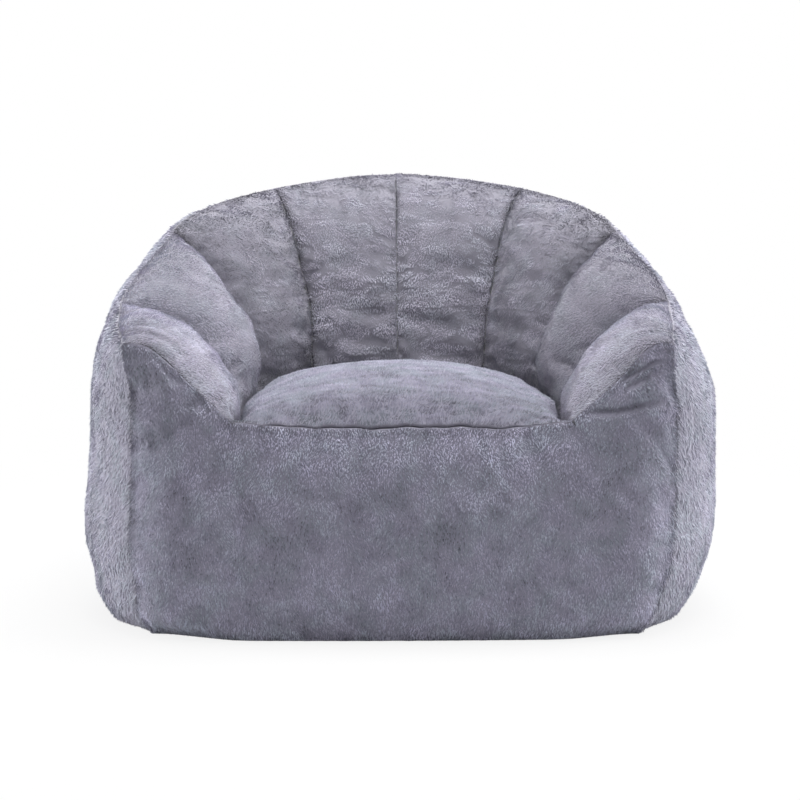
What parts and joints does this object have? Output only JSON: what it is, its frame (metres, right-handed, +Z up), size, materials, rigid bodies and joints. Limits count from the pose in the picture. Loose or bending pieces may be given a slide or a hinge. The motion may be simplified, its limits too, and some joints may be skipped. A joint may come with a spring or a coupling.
{
  "type": "bean bag chair",
  "caption": "Low plush bean bag armchair: a crowned seat inside a round back of padded channels that slope down into the arms, over inner bags of foam beads, with a zip low in the back.",
  "frame": {"origin": "on the floor under the middle of the chair's box", "axes": "+Z up, -Y the way a sitter faces, +X to the right seen from the front"},
  "size_m": [1.0178, 0.8299, 0.674],
  "materials": {
    "front_plush": "short plush pile, brushed down",
    "channel_plush": "short plush pile, curly",
    "seat_plush": "short plush pile",
    "wall_plush": "short plush pile",
    "wadding": "fibre wadding",
    "base_cloth": "woven, with grip dots",
    "liner_cloth": "non-woven",
    "beads": "foam beads",
    "zip_tape": "woven tape",
    "zip_coil": "moulded coil",
    "zip_metal": "painted die casting"
  },
  "bodies": {
    "chair": {"back_channel_1": "channel_plush", "back_channel_2": "channel_plush", "back_channel_3": "channel_plush", "back_channel_4": "channel_plush", "back_channel_5": "channel_plush", "back_channel_6": "channel_plush", "back_channel_7": "channel_plush", "back_channel_8": "channel_plush", "back_fill": "beads", "back_liner": "liner_cloth", "base_panel": "base_cloth", "channel_wadding_1": "wadding", "channel_wadding_2": "wadding", "channel_wadding_3": "wadding", "channel_wadding_4": "wadding", "channel_wadding_5": "wadding", "channel_wadding_6": "wadding", "channel_wadding_7": "wadding", "channel_wadding_8": "wadding", "front_panel": "front_plush", "outer_wall_left": "wall_plush", "outer_wall_right": "wall_plush", "seat_fill": "beads", "seat_liner": "liner_cloth", "seat_panel": "seat_plush", "zip_coil_lower": "zip_coil", "zip_coil_upper": "zip_coil", "zip_end_stops": "zip_coil", "zip_tape_lower": "zip_tape", "zip_tape_upper": "zip_tape"},
    "zip_slider": {"zip_slider": "zip_metal"},
    "zip_pull": {"zip_pull": "zip_metal"}
  },
  "joints": [
    {"name": "zip_slide", "type": "hinge", "parent": "chair", "child": "zip_slider", "pos_m": [0, -0.097, 0], "axis": [0, 0, 1], "range_deg": [0, 67.9]},
    {"name": "pull_turn", "type": "hinge", "parent": "zip_slider", "child": "zip_pull", "pos_m": [0.28486, 0.32588, 0.11786], "axis": [-0.0687, -0.102, -0.9924], "range_deg": [0, 170]}
  ]
}
